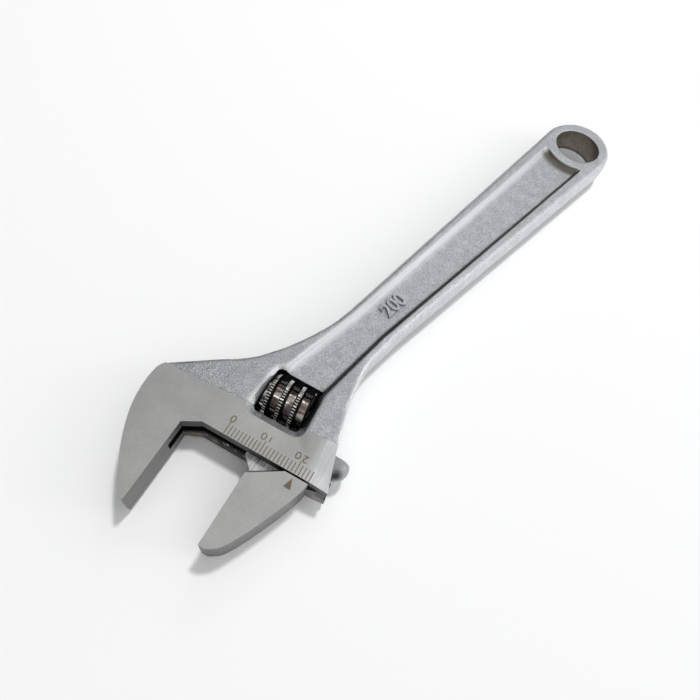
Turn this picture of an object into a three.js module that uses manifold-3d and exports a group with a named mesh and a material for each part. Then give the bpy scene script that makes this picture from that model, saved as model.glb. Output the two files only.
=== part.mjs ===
// Adjustable wrench, lying on its flat face. Lengths are in millimetres.
// X is the way the jaw slides open, Y runs from the jaws toward the handle, Z is up.
// Working origin: the zero tick on the frame edge, at half the thickness. The finished
// group is then moved so that its own origin is the bottom centre of its bounding box.
import * as THREE from 'three';
import { mergeVertices } from 'three/addons/utils/BufferGeometryUtils.js';
import Module from 'manifold-3d';

const wasm = await Module();
wasm.setup();

// ---------------------------------------------------------------- driving dimensions
// Thickness
const HEAD_THICKNESS = 10;
const SHANK_THICKNESS = 8.6;
const FACE_EDGE_Y = 10.1;
const FACE_EDGE_SLANT = 3.8;
const FACE_RUNOUT = 15.5;

// Jaws
const OPENING = 20;
const FIXED_FACE_X = -10.6;
const JAW_DEPTH = 24.3;
const FIXED_JAW_WIDTH = 13.7;
const MOVABLE_JAW_WIDTH = 14.3;
const JAW_TIP_CHAMFER = 0.9;
const THROAT_BEVEL_X = 4.4;
const THROAT_BEVEL_Y = 2.5;
const JAW_SLIDE_GAP = 0.5;
const JAW_BEVEL_X = 8;
const JAW_BEVEL_Y = 5;

// Frame
const FRAME_END_X = 28.8;
const FRAME_END_RAKE = 3.1;
const FRAME_END_HEIGHT = 10.2;
const SHOULDER_Y = 9;
const END_BEVEL_X = 23.7;
const END_BEVEL_LEAN = 6.5;
const END_BEVEL_SLOPE = 6;
const END_EDGE_X = 25.3;
const END_EDGE_LEAN = 3;
const END_EDGE_SLOPE = 10;

// Handle
const HEAD_ANGLE = 15.6;
const HANDLE_REACH = 140.4;
const HANDLE_ROOT = new THREE.Vector2(8.7, 20);
const HANDLE_TAIL_HALF_WIDTH = 12;
const HANDLE_NECK_HALF_WIDTH = 7.9;
const NECK_LENGTH = 34;
const NECK_WAIST = 3.9;
const HANDLE_TAIL_END = 13.3;
const HANGING_HOLE_RADIUS = 7.8;
const RIM_ROUND_WIDTH = 2.4;
const RIM_ROUND_HEIGHT = 2.4;
const RIM_FADE_START = 6;
const RIM_FADE_LENGTH = 37;

// Panel sunk in both faces of the handle
const PANEL_DEPTH = 1.5;
const PANEL_WALL_RUN = 1.1;
const PANEL_TAIL_HALF_WIDTH = 6.6;
const PANEL_NECK_HALF_WIDTH = 4.3;
const PANEL_HEAD_HALF_WIDTH = 5.2;
const PANEL_NECK_START = 28;
const PANEL_HEAD_END = 6;
const BOSS_RADIUS = 12.4;

// Worm and its window
const WORM_RADIUS = 6.4;
const WORM_ROOT_RADIUS = 4.5;
const WORM_LENGTH = 12.2;
const WORM_START_X = 2.3;
const WORM_Y = 16.2;
const WORM_CHAMFER = 0.5;
const THREAD_PITCH = 3.7;
const THREAD_PHASE_X = 2.7;
const THREAD_CREST = 1.1;
const THREAD_FLANK = 15;
const THREAD_STEPS_PER_TURN = 32;
const WINDOW_SIDE_CLEARANCE = 0.2;
const WINDOW_END_CLEARANCE = 0.3;
const WINDOW_HANDLE_MARGIN = 0.4;
const WINDOW_CORNER_RADIUS = 1;
const WINDOW_FLARE_RUN = 1.9;
const WINDOW_FLARE_DEPTH = 1.5;

// Rack, its bore and slot
const RACK_RADIUS = 3.5;
const RACK_Y = 7.9;
const RACK_LEAD = 3;
const RACK_END_X = 30.7;
const RACK_NOSE_LENGTH = 3.3;
const RACK_CHAMFER = 0.4;
const RACK_TOOTH_DEPTH = 1.8;
const RACK_BACKLASH = 0.2;
const RACK_LAST_GROOVE = 6;
const BORE_CLEARANCE = 0.15;
const BORE_END_X = -14.5;
const SLOT_WIDTH = 3.2;
const SLOT_CLEARANCE = 0.15;
const SLOT_FOOT = 0.85;
const SLOT_RELIEF_RADIUS = 5.8;
const SLOT_RELIEF_Y = -3;
const NECK_END_X = 27;
const NECK_ROOT = 0.5;

// Worm pin and spring
const PIN_RADIUS = 1.75;
const PIN_CLEARANCE = 0.2;
const PIN_TAIL_X = -3;
const PIN_HEAD_X = 23.3;
const PIN_SLOT_WIDTH = 0.7;
const PIN_SLOT_DEPTH = 0.9;
const SPRING_WIRE_RADIUS = 0.3;
const SPRING_COIL_RADIUS = 2.6;
const SPRING_COILS = 3;
const SPRING_POCKET_DEPTH = 4.6;
const SPRING_CLEARANCE = 0.35;
const SPRING_SIDES = 8;
const SPRING_STEPS_PER_COIL = 16;

// Number of facets round a full circle, and how far cutters run past the metal
const FACETS = 48;
const OVERRUN = 6;

// ---------------------------------------------------------------- worked-out places
const headHalf = HEAD_THICKNESS / 2;
const shankHalf = SHANK_THICKNESS / 2;
const movableFaceX = FIXED_FACE_X + OPENING;
const rackStartX = movableFaceX - RACK_LEAD;
const wormEndX = WORM_START_X + WORM_LENGTH;
const windowStartX = WORM_START_X - WINDOW_END_CLEARANCE;
const windowEndX = wormEndX + WINDOW_END_CLEARANCE;
const windowStartY = WORM_Y - WORM_RADIUS - WINDOW_SIDE_CLEARANCE;
const windowEndY = WORM_Y + WORM_RADIUS + WINDOW_HANDLE_MARGIN;
const threadDepth = WORM_RADIUS - WORM_ROOT_RADIUS;
const threadSlope = Math.tan(THREE.MathUtils.degToRad(THREAD_FLANK));
const boreRadius = RACK_RADIUS + BORE_CLEARANCE;

const headAngle = THREE.MathUtils.degToRad(HEAD_ANGLE);
const handleWay = new THREE.Vector2(Math.sin(headAngle), Math.cos(headAngle));
const handleSide = new THREE.Vector2(Math.cos(headAngle), -Math.sin(headAngle));
const hangingHole = HANDLE_ROOT.clone().addScaledVector(handleWay, HANDLE_REACH);
const shoulderEnd = new THREE.Vector2(HANDLE_ROOT.x - 16.9, HANDLE_ROOT.y - 0.4);

// ---------------------------------------------------------------- solids and meshes
function toSolid(geometry) {
  const bare = geometry.index ? geometry.toNonIndexed() : geometry.clone();
  bare.deleteAttribute('normal');
  bare.deleteAttribute('uv');
  const merged = mergeVertices(bare, 1e-4);
  return new wasm.Manifold(new wasm.Mesh({
    numProp: 3,
    vertProperties: new Float32Array(merged.attributes.position.array),
    triVerts: new Uint32Array(merged.index.array),
  }));
}

function toMesh(name, solid, material) {
  const { vertProperties, triVerts } = solid.getMesh();
  const geometry = new THREE.BufferGeometry();
  geometry.setAttribute('position', new THREE.BufferAttribute(vertProperties, 3));
  geometry.setIndex(new THREE.BufferAttribute(triVerts, 1));
  geometry.computeVertexNormals();
  const mesh = new THREE.Mesh(geometry, material);
  mesh.name = name;
  return mesh;
}

// A straight slab of a shape, between two heights.
function slab(shape, bottom, top, curveSegments = 12) {
  const geometry = new THREE.ExtrudeGeometry(shape, {
    depth: top - bottom,
    bevelEnabled: false,
    curveSegments,
  });
  return toSolid(geometry.translate(0, 0, bottom));
}

// A cylinder along X between two places.
function barAlongX(radius, startX, endX, y) {
  const geometry = new THREE.CylinderGeometry(radius, radius, endX - startX, FACETS);
  geometry.rotateZ(Math.PI / 2);
  return toSolid(geometry.translate((startX + endX) / 2, y, 0));
}

// A body turned about the X direction through y, from a profile of [x, radius] pairs.
function turnedAlongX(profile, y) {
  const points = profile.map(([x, radius]) => new THREE.Vector2(radius, x));
  const geometry = new THREE.LatheGeometry(points, FACETS);
  geometry.rotateZ(-Math.PI / 2);
  return toSolid(geometry.translate(0, y, 0));
}

// A closed skin over equal rings of points, with both ends capped as convex faces.
function loft(rings) {
  const sides = rings[0].length;
  const index = [];
  for (let row = 0; row + 1 < rings.length; row += 1) {
    for (let side = 0; side < sides; side += 1) {
      const a = row * sides + side;
      const b = row * sides + (side + 1) % sides;
      index.push(a, b, b + sides, a, b + sides, a + sides);
    }
  }
  const last = (rings.length - 1) * sides;
  for (let side = 1; side + 1 < sides; side += 1) {
    index.push(0, side + 1, side);
    index.push(last, last + side, last + side + 1);
  }
  const geometry = new THREE.BufferGeometry().setFromPoints(rings.flat());
  geometry.setIndex(index);
  return toSolid(geometry);
}

// ---------------------------------------------------------------- outlines
// A place on the handle: how far it lies behind the head, and to which side.
function onHandle(behind, side) {
  return HANDLE_ROOT.clone()
    .addScaledVector(handleWay, behind)
    .addScaledVector(handleSide, side);
}

function behindHead(x, y) {
  return new THREE.Vector2(x - HANDLE_ROOT.x, y - HANDLE_ROOT.y).dot(handleWay);
}

// Back of the fixed jaw, from the tip up to the shoulder.
function fixedJawBack() {
  const at = (across, down) => new THREE.Vector2(
    FIXED_FACE_X - FIXED_JAW_WIDTH * across,
    -JAW_DEPTH * down,
  );
  return [
    at(0.37, 0.785),
    at(0.64, 0.553),
    at(0.88, 0.25),
    at(0.985, -0.02),
    new THREE.Vector2(FIXED_FACE_X - FIXED_JAW_WIDTH * 0.985, SHOULDER_Y * 0.7),
    new THREE.Vector2(FIXED_FACE_X - FIXED_JAW_WIDTH * 0.88, SHOULDER_Y),
  ];
}

// Back of the head, from the shoulder's straight run in a hollow curve to the handle.
function backOfHead(shape) {
  const end = onHandle(NECK_LENGTH, -HANDLE_NECK_HALF_WIDTH);
  const at = (across, along) => new THREE.Vector2(
    THREE.MathUtils.lerp(shoulderEnd.x, end.x, across),
    THREE.MathUtils.lerp(shoulderEnd.y, end.y, along),
  );
  shape.lineTo(shoulderEnd.x, shoulderEnd.y);
  shape.splineThru([at(0.215, 0.1), at(0.49, 0.29), at(0.725, 0.52), at(0.87, 0.715), end]);
}

// Inner edge of the neck: a waist between the handle and the end of the frame.
function innerOfNeck(shape) {
  const start = onHandle(NECK_LENGTH, HANDLE_NECK_HALF_WIDTH);
  const end = new THREE.Vector2(FRAME_END_X - FRAME_END_RAKE, FRAME_END_HEIGHT);
  const at = (along, waist) => {
    const point = start.clone().lerp(end, along);
    point.x -= NECK_WAIST * waist;
    return point;
  };
  shape.lineTo(start.x, start.y);
  shape.splineThru([
    at(0.18, 0.53), at(0.335, 0.95), at(0.485, 1), at(0.67, 0.78), at(0.85, 0.34), end,
  ]);
}

// Round tail of the handle, from one edge round the hanging hole to the other.
function tailOfHandle(shape) {
  shape.absellipse(
    hangingHole.x, hangingHole.y,
    HANDLE_TAIL_HALF_WIDTH, HANDLE_TAIL_END,
    Math.PI, 0, true, -headAngle,
  );
}

function frameOutline() {
  const shape = new THREE.Shape();
  const tipY = -JAW_DEPTH;
  shape.moveTo(FIXED_FACE_X, -THROAT_BEVEL_Y);
  shape.lineTo(FIXED_FACE_X, tipY);
  shape.lineTo(FIXED_FACE_X - JAW_TIP_CHAMFER, tipY);
  shape.splineThru(fixedJawBack());
  backOfHead(shape);
  tailOfHandle(shape);
  innerOfNeck(shape);
  shape.lineTo(FRAME_END_X, 0);
  shape.lineTo(FIXED_FACE_X + THROAT_BEVEL_X, 0);
  return shape;
}

// ---------------------------------------------------------------- body
// The side view of the forging: full thickness at the ground faces, thinner behind them.
function sideProfile() {
  const far = HANDLE_REACH * 2;
  const profile = new THREE.Shape();
  profile.moveTo(-far, -headHalf);
  profile.lineTo(0, -headHalf);
  profile.lineTo(FACE_RUNOUT, -shankHalf);
  profile.lineTo(far, -shankHalf);
  profile.lineTo(far, shankHalf);
  profile.lineTo(FACE_RUNOUT, shankHalf);
  profile.lineTo(0, headHalf);
  profile.lineTo(-far, headHalf);
  const geometry = new THREE.ExtrudeGeometry(profile, { depth: 2 * far, bevelEnabled: false });
  geometry.translate(0, 0, -far);
  const placed = new THREE.Matrix4().makeBasis(
    new THREE.Vector3(0, 1, 0),
    new THREE.Vector3(0, 0, 1),
    new THREE.Vector3(1, 0, 0),
  );
  geometry.applyMatrix4(placed);
  geometry.rotateZ(THREE.MathUtils.degToRad(FACE_EDGE_SLANT));
  return toSolid(geometry.translate(0, FACE_EDGE_Y, 0));
}

// Height of the rim's outermost line above mid-thickness. The forged rounding fades
// out through the neck, so the head keeps square edges.
function rimEdgeHeight(behind) {
  const fade = THREE.MathUtils.smoothstep(
    behind, RIM_FADE_START, RIM_FADE_START + RIM_FADE_LENGTH,
  );
  return shankHalf - RIM_ROUND_HEIGHT * fade;
}

// Handle and neck with their rounded rims.
function shankBlank() {
  const outline = frameOutline().getPoints(10);
  const past = (behind) => outline.filter(({ x, y }) => behindHead(x, y) > behind);
  const buried = past(0);
  const shank = [buried[0], ...past(RIM_FADE_START), buried[buried.length - 1]];
  const crown = shankHalf + 0.15;
  const geometry = new THREE.ExtrudeGeometry(new THREE.Shape(shank), {
    depth: 2,
    bevelEnabled: true,
    bevelSize: RIM_ROUND_WIDTH,
    bevelOffset: -RIM_ROUND_WIDTH,
    bevelThickness: 1,
    bevelSegments: 5,
  });
  geometry.translate(0, 0, -1);
  const place = geometry.attributes.position;
  for (let i = 0; i < place.count; i += 1) {
    const z = place.getZ(i);
    const rise = Math.abs(z) - 1;
    const edge = rimEdgeHeight(behindHead(place.getX(i), place.getY(i)));
    place.setZ(i, Math.sign(z) * (edge + (crown - edge) * rise));
  }
  return toSolid(geometry);
}

// Head blank: the whole outline, square-edged, kept only as far as the neck.
function headBlank() {
  const whole = slab(frameOutline(), -headHalf - 1, headHalf + 1, 10);
  const keep = new THREE.BoxGeometry(HANDLE_REACH, HANDLE_REACH, HANDLE_REACH);
  keep.translate(0, -HANDLE_REACH / 2, 0);
  keep.rotateZ(-headAngle);
  const edge = onHandle(RIM_FADE_START + 1, 0);
  keep.translate(edge.x, edge.y, 0);
  return whole.intersect(toSolid(keep));
}

// One sunk panel, cut from the face that the sign names.
function panelCutter(sign) {
  const start = Math.acos(PANEL_TAIL_HALF_WIDTH / BOSS_RADIUS);
  const shape = new THREE.Shape();
  const from = headAngle + start;
  shape.absarc(
    hangingHole.x, hangingHole.y, BOSS_RADIUS,
    -from, start - headAngle - Math.PI, true,
  );
  const stations = [
    [PANEL_NECK_START, PANEL_NECK_HALF_WIDTH],
    [PANEL_HEAD_END, PANEL_HEAD_HALF_WIDTH],
    [0, PANEL_HEAD_HALF_WIDTH],
  ];
  for (const [behind, half] of stations) {
    const point = onHandle(behind, -half);
    shape.lineTo(point.x, point.y);
  }
  for (const [behind, half] of stations.reverse()) {
    const point = onHandle(behind, half);
    shape.lineTo(point.x, point.y);
  }
  return flaredCutter(shape, PANEL_WALL_RUN, PANEL_DEPTH, shankHalf, sign);
}

// A sunk shape whose walls lean outward up to the face at the given height.
function flaredCutter(shape, run, depth, face, sign) {
  const geometry = new THREE.ExtrudeGeometry(shape, {
    depth: OVERRUN,
    bevelEnabled: true,
    bevelSize: run,
    bevelThickness: depth,
    bevelSegments: 1,
  });
  const lift = sign > 0 ? face : -face - OVERRUN;
  return toSolid(geometry.translate(0, 0, lift));
}

function windowShape() {
  const r = WINDOW_CORNER_RADIUS;
  const shape = new THREE.Shape();
  shape.moveTo(windowStartX + r, windowStartY);
  shape.lineTo(windowEndX - r, windowStartY);
  shape.absarc(windowEndX - r, windowStartY + r, r, -Math.PI / 2, 0, false);
  shape.absarc(windowEndX - r, windowEndY - r, r, 0, Math.PI / 2, false);
  shape.absarc(windowStartX + r, windowEndY - r, r, Math.PI / 2, Math.PI, false);
  shape.absarc(windowStartX + r, windowStartY + r, r, Math.PI, Math.PI * 1.5, false);
  return shape;
}

function wormWindow() {
  const shape = windowShape();
  const top = flaredCutter(shape, WINDOW_FLARE_RUN, WINDOW_FLARE_DEPTH, headHalf, 1);
  const bottom = flaredCutter(shape, WINDOW_FLARE_RUN, WINDOW_FLARE_DEPTH, headHalf, -1);
  return slab(shape, -headHalf, headHalf, 4).add(top).add(bottom);
}

// Round bore for the rack, open to the jaws through a slot, with the round relief that
// a slotting cutter leaves in the face of the fixed jaw.
function keyhole() {
  const farX = FRAME_END_X + OVERRUN;
  const bore = barAlongX(boreRadius, BORE_END_X, farX, RACK_Y);
  const slotStartX = rackStartX - OPENING - SLOT_CLEARANCE;
  const slotHeight = RACK_Y + SLOT_FOOT;
  const slot = new THREE.BoxGeometry(farX - slotStartX, slotHeight, SLOT_WIDTH);
  slot.translate((farX + slotStartX) / 2, RACK_Y - slotHeight / 2, 0);
  const relief = new THREE.CylinderGeometry(
    SLOT_RELIEF_RADIUS, SLOT_RELIEF_RADIUS, SLOT_WIDTH, FACETS,
  );
  relief.rotateX(Math.PI / 2);
  relief.translate(FIXED_FACE_X + THROAT_BEVEL_Y, SLOT_RELIEF_Y, 0);
  return bore.add(toSolid(slot)).add(toSolid(relief));
}

function hangingHoleCutter() {
  const geometry = new THREE.CylinderGeometry(
    HANGING_HOLE_RADIUS, HANGING_HOLE_RADIUS, 2 * HEAD_THICKNESS, FACETS,
  );
  geometry.rotateX(Math.PI / 2);
  return toSolid(geometry.translate(hangingHole.x, hangingHole.y, 0));
}

// Two shallow bevels planed on both faces toward the end of the frame.
function endBevels() {
  const planing = (startX, lean, slope, depth) => {
    const size = 2 * HEAD_THICKNESS;
    const block = new THREE.BoxGeometry(size, 2 * size, size);
    block.translate(size / 2, 0, size / 2);
    block.rotateY(THREE.MathUtils.degToRad(slope));
    block.rotateZ(THREE.MathUtils.degToRad(lean));
    return toSolid(block.translate(startX, 0, headHalf - depth));
  };
  const bevelFall = Math.tan(THREE.MathUtils.degToRad(END_BEVEL_SLOPE));
  const top = planing(END_BEVEL_X, END_BEVEL_LEAN, END_BEVEL_SLOPE, 0).add(
    planing(END_EDGE_X, END_EDGE_LEAN, END_EDGE_SLOPE, (END_EDGE_X - END_BEVEL_X) * bevelFall),
  );
  return top.add(top.mirror([0, 0, 1]));
}

function buildBody() {
  const pinHole = barAlongX(
    PIN_RADIUS + PIN_CLEARANCE, PIN_TAIL_X - PIN_CLEARANCE, FRAME_END_X, WORM_Y,
  );
  return headBlank()
    .add(shankBlank())
    .intersect(sideProfile())
    .subtract(endBevels())
    .subtract(panelCutter(1))
    .subtract(panelCutter(-1))
    .subtract(wormWindow())
    .subtract(keyhole())
    .subtract(pinHole)
    .subtract(hangingHoleCutter());
}

// ---------------------------------------------------------------- movable jaw
function movableJawOutline() {
  const topY = -JAW_SLIDE_GAP;
  const at = (across, down) => new THREE.Vector2(
    movableFaceX + MOVABLE_JAW_WIDTH * across,
    -JAW_DEPTH * down,
  );
  const shape = new THREE.Shape();
  shape.moveTo(movableFaceX, topY - JAW_BEVEL_Y);
  shape.lineTo(movableFaceX, -JAW_DEPTH);
  shape.lineTo(movableFaceX + 2 * JAW_TIP_CHAMFER, -JAW_DEPTH);
  shape.splineThru([
    at(0.32, 0.92),
    at(0.53, 0.72),
    at(0.76, 0.43),
    at(0.9, 0.23),
    at(0.98, 0.09),
    new THREE.Vector2(movableFaceX + MOVABLE_JAW_WIDTH, topY),
  ]);
  shape.lineTo(movableFaceX + JAW_BEVEL_X, topY);
  return shape;
}

// Place of a groove on the rack line, between two threads of the worm.
function grooveX(number) {
  return THREAD_PHASE_X + THREAD_PITCH * (number + 0.5);
}

// A rack groove follows the slant of the thread where the two meet.
function rackGroove(x) {
  const floorY = RACK_Y + RACK_RADIUS - RACK_TOOTH_DEPTH;
  const topY = RACK_Y + RACK_RADIUS + 1;
  const floorHalf = THREAD_CREST / 2 + RACK_BACKLASH;
  const topHalf = floorHalf + (topY - floorY) * threadSlope;
  const meanRadius = (WORM_RADIUS + WORM_ROOT_RADIUS) / 2;
  const slant = THREAD_PITCH / (2 * Math.PI * meanRadius);
  const ring = (z) => {
    const middle = x - slant * z;
    return [
      new THREE.Vector3(middle - floorHalf, floorY, z),
      new THREE.Vector3(middle + floorHalf, floorY, z),
      new THREE.Vector3(middle + topHalf, topY, z),
      new THREE.Vector3(middle - topHalf, topY, z),
    ];
  };
  return loft([ring(-boreRadius), ring(boreRadius)]);
}

function rack() {
  const profile = [
    [rackStartX, 0],
    [rackStartX, RACK_RADIUS - RACK_CHAMFER],
    [rackStartX + RACK_CHAMFER, RACK_RADIUS],
  ];
  const steps = 6;
  for (let step = 0; step < steps; step += 1) {
    const turn = (step / steps) * (Math.PI / 2);
    profile.push([
      RACK_END_X - RACK_NOSE_LENGTH * (1 - Math.sin(turn)),
      RACK_RADIUS * Math.cos(turn),
    ]);
  }
  profile.push([RACK_END_X, 0]);
  let solid = turnedAlongX(profile, RACK_Y);
  const first = Math.ceil((rackStartX - THREAD_PHASE_X) / THREAD_PITCH);
  for (let number = first; number <= RACK_LAST_GROOVE; number += 1) {
    solid = solid.subtract(rackGroove(grooveX(number)));
  }
  return solid.subtract(rackEndCut());
}

// Past its last groove the rack is cut down to the floor of the grooves.
function rackEndCut() {
  const floorY = RACK_Y + RACK_RADIUS - RACK_TOOTH_DEPTH;
  const block = new THREE.BoxGeometry(OVERRUN, OVERRUN, 4 * RACK_RADIUS);
  const startX = grooveX(RACK_LAST_GROOVE);
  return toSolid(block.translate(startX + OVERRUN / 2, floorY + OVERRUN / 2, 0));
}

// Flat neck that joins the jaw to the rack through the slot of the frame. Inside the
// slot it reaches as far as the rack, and below the frame it ends at the jaw's face.
function neck() {
  const half = SLOT_WIDTH / 2 - SLOT_CLEARANCE;
  const shape = new THREE.Shape();
  shape.moveTo(rackStartX, RACK_Y);
  shape.lineTo(rackStartX, 0);
  shape.lineTo(movableFaceX, 0);
  shape.lineTo(movableFaceX, -JAW_SLIDE_GAP - JAW_BEVEL_Y - NECK_ROOT);
  shape.lineTo(movableFaceX + MOVABLE_JAW_WIDTH - NECK_ROOT, -JAW_SLIDE_GAP - NECK_ROOT);
  shape.lineTo(NECK_END_X, 0);
  shape.lineTo(NECK_END_X, RACK_Y);
  return slab(shape, -half, half);
}

function buildMovableJaw() {
  return slab(movableJawOutline(), -headHalf, headHalf, 8).add(neck()).add(rack());
}

// ---------------------------------------------------------------- worm, pin, spring
// Right-hand thread: a trapezoid carried round the axis while it moves along X.
function wormThread() {
  const buried = 0.4;
  const rootHalf = THREAD_CREST / 2 + threadDepth * threadSlope;
  const section = [
    [-rootHalf, WORM_ROOT_RADIUS - buried],
    [rootHalf, WORM_ROOT_RADIUS - buried],
    [THREAD_CREST / 2, WORM_RADIUS + buried],
    [-THREAD_CREST / 2, WORM_RADIUS + buried],
  ];
  const turns = Math.ceil(WORM_LENGTH / THREAD_PITCH) + 2;
  const steps = turns * THREAD_STEPS_PER_TURN;
  const rings = [];
  for (let step = 0; step <= steps; step += 1) {
    const turn = step / THREAD_STEPS_PER_TURN - 1;
    const angle = turn * 2 * Math.PI;
    const middle = THREAD_PHASE_X + THREAD_PITCH * turn;
    rings.push(section.map(([along, radius]) => new THREE.Vector3(
      middle + along,
      WORM_Y + radius * Math.cos(angle),
      radius * Math.sin(angle),
    )));
  }
  return loft(rings);
}

function buildWorm() {
  const limit = turnedAlongX([
    [WORM_START_X, 0],
    [WORM_START_X, WORM_RADIUS - WORM_CHAMFER],
    [WORM_START_X + WORM_CHAMFER, WORM_RADIUS],
    [wormEndX - WORM_CHAMFER, WORM_RADIUS],
    [wormEndX, WORM_RADIUS - WORM_CHAMFER],
    [wormEndX, 0],
  ], WORM_Y);
  const core = barAlongX(WORM_ROOT_RADIUS, WORM_START_X, wormEndX, WORM_Y);
  const bore = barAlongX(
    PIN_RADIUS + PIN_CLEARANCE, WORM_START_X - 1, wormEndX + 1, WORM_Y,
  );
  const pocket = barAlongX(
    SPRING_COIL_RADIUS + SPRING_WIRE_RADIUS + SPRING_CLEARANCE,
    wormEndX - SPRING_POCKET_DEPTH, wormEndX + 1, WORM_Y,
  );
  return core.add(wormThread()).intersect(limit).subtract(bore).subtract(pocket);
}

// Screw pin through the worm, with a driver slot in its head end.
function buildPin() {
  const slot = new THREE.BoxGeometry(2 * PIN_SLOT_DEPTH, PIN_SLOT_WIDTH, 3 * PIN_RADIUS);
  slot.translate(PIN_HEAD_X, WORM_Y, 0);
  return barAlongX(PIN_RADIUS, PIN_TAIL_X, PIN_HEAD_X, WORM_Y).subtract(toSolid(slot));
}

class Coil extends THREE.Curve {
  constructor(startX, endX) {
    super();
    this.startX = startX;
    this.endX = endX;
  }

  getPoint(t, target = new THREE.Vector3()) {
    const angle = t * SPRING_COILS * 2 * Math.PI;
    return target.set(
      this.startX + (this.endX - this.startX) * t,
      WORM_Y + SPRING_COIL_RADIUS * Math.cos(angle),
      SPRING_COIL_RADIUS * Math.sin(angle),
    );
  }
}

// Spring in the worm's pocket, between its floor and the wall of the window.
function buildSpring() {
  const inset = SPRING_WIRE_RADIUS + SPRING_CLEARANCE / 2;
  const path = new Coil(wormEndX - SPRING_POCKET_DEPTH + inset, windowEndX - inset);
  const wire = new THREE.Shape();
  wire.absarc(0, 0, SPRING_WIRE_RADIUS, 0, 2 * Math.PI, false);
  const geometry = new THREE.ExtrudeGeometry(wire, {
    steps: SPRING_COILS * SPRING_STEPS_PER_COIL,
    curveSegments: SPRING_SIDES / 2,
    bevelEnabled: false,
    extrudePath: path,
  });
  return toSolid(geometry);
}

// ---------------------------------------------------------------- materials, assembly
const steel = (color, roughness) => new THREE.MeshStandardMaterial({
  color, roughness, metalness: 0.9,
});
const bodyChrome = steel(0xb9bec6, 0.42);
const jawChrome = steel(0xb4b9c1, 0.42);
const darkSteel = steel(0x3c3836, 0.35);
const pinSteel = steel(0x6c6e72, 0.4);
const springSteel = steel(0x55565a, 0.35);

const wrench = new THREE.Group();
wrench.add(toMesh('body', buildBody(), bodyChrome));
wrench.add(toMesh('movable_jaw', buildMovableJaw(), jawChrome));
wrench.add(toMesh('worm', buildWorm(), darkSteel));
wrench.add(toMesh('worm_pin', buildPin(), pinSteel));
wrench.add(toMesh('worm_spring', buildSpring(), springSteel));

const bounds = new THREE.Box3().setFromObject(wrench);
const middle = bounds.getCenter(new THREE.Vector3());
wrench.position.set(-middle.x, -middle.y, -bounds.min.z);

export default wrench;
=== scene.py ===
import math

import bpy
import numpy
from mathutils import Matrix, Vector


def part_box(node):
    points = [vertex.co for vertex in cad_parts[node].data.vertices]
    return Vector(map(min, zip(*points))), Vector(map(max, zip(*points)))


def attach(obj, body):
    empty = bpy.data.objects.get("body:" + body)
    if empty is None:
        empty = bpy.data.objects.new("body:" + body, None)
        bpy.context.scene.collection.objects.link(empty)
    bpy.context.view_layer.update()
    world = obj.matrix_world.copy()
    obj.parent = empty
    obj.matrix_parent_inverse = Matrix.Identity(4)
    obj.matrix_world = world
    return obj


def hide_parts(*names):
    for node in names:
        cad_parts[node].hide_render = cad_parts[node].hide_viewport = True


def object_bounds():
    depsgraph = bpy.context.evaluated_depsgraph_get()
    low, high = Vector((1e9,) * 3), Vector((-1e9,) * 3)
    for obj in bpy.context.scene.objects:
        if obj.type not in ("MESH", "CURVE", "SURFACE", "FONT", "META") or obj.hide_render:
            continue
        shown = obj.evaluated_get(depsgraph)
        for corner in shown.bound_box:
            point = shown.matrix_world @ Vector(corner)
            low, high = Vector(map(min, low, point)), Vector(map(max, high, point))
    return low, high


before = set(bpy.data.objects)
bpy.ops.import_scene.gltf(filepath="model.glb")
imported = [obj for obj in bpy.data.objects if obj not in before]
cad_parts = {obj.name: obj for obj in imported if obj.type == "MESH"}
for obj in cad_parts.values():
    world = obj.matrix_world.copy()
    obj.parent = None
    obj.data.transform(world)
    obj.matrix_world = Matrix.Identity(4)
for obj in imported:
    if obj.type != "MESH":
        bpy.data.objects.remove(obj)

bl_info = {
    "name": "Adjustable Wrench",
    "version": (1, 0, 0),
    "blender": (4, 5, 0),
    "location": "View3D > Sidebar > Wrench",
    "description": "Finishes an adjustable wrench round its packed frame",
    "category": "Object",
}

MM = 0.001
CAD_BOX = [list(corner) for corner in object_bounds()]
BODY_LOW, BODY_HIGH = (Vector(corner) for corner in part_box("body"))
JAW_LOW = Vector(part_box("movable_jaw")[0])
WORM_LOW, WORM_HIGH = (Vector(corner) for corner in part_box("worm"))
PIN_LOW, PIN_HIGH = (Vector(corner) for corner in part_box("worm_pin"))
SPRING_LOW, SPRING_HIGH = (Vector(corner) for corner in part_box("worm_spring"))
MIDDLE_Z = (BODY_LOW.z + BODY_HIGH.z) / 2
HALF_HEAD = (BODY_HIGH.z - BODY_LOW.z) / 2
WORM_AXIS = (WORM_LOW + WORM_HIGH) / 2

SAME_POINT = 1e-7  # metres within which points are merged
GROUND_HEIGHT = 4.9 * MM  # faces this far from the middle plane can be ground
HANDLE_MIDDLE = 8.7  # where the handle's centre line meets the scale, in millimetres
FIGURE_SHARE = 0.7  # height of a figure as a share of its font's size
HOLLOW_PASSES = 40  # rounds of smoothing that level the forging's hollows
HOLLOW_DEPTH = 0.35 * MM  # a hollow of this depth counts in full

# Colours of wear, stains and grime, and of painted light and shade.
POLISH = (0.8, 0.81, 0.82)
# Painted highlight on the forging's ridges, together with their rubbed plating.
RIDGE_HIGHLIGHT_AND_POLISH = (0.85, 0.86, 0.87)
# Painted highlight on walls facing +X.
PAINTED_WALL_HIGHLIGHT = (0.86, 0.88, 0.9)
# Painted glints along real scratch marks.
SCRATCH_GLINT = (0.95, 0.95, 0.92)
WORN_CREST = (0.58, 0.57, 0.53)
# Painted glints in patches on the worm.
PAINTED_FLANK_GLINT = (0.5, 0.48, 0.46)
# Painted shade in the forging's hollows.
HOLLOW_SHADE = (0.12, 0.12, 0.12)
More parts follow.
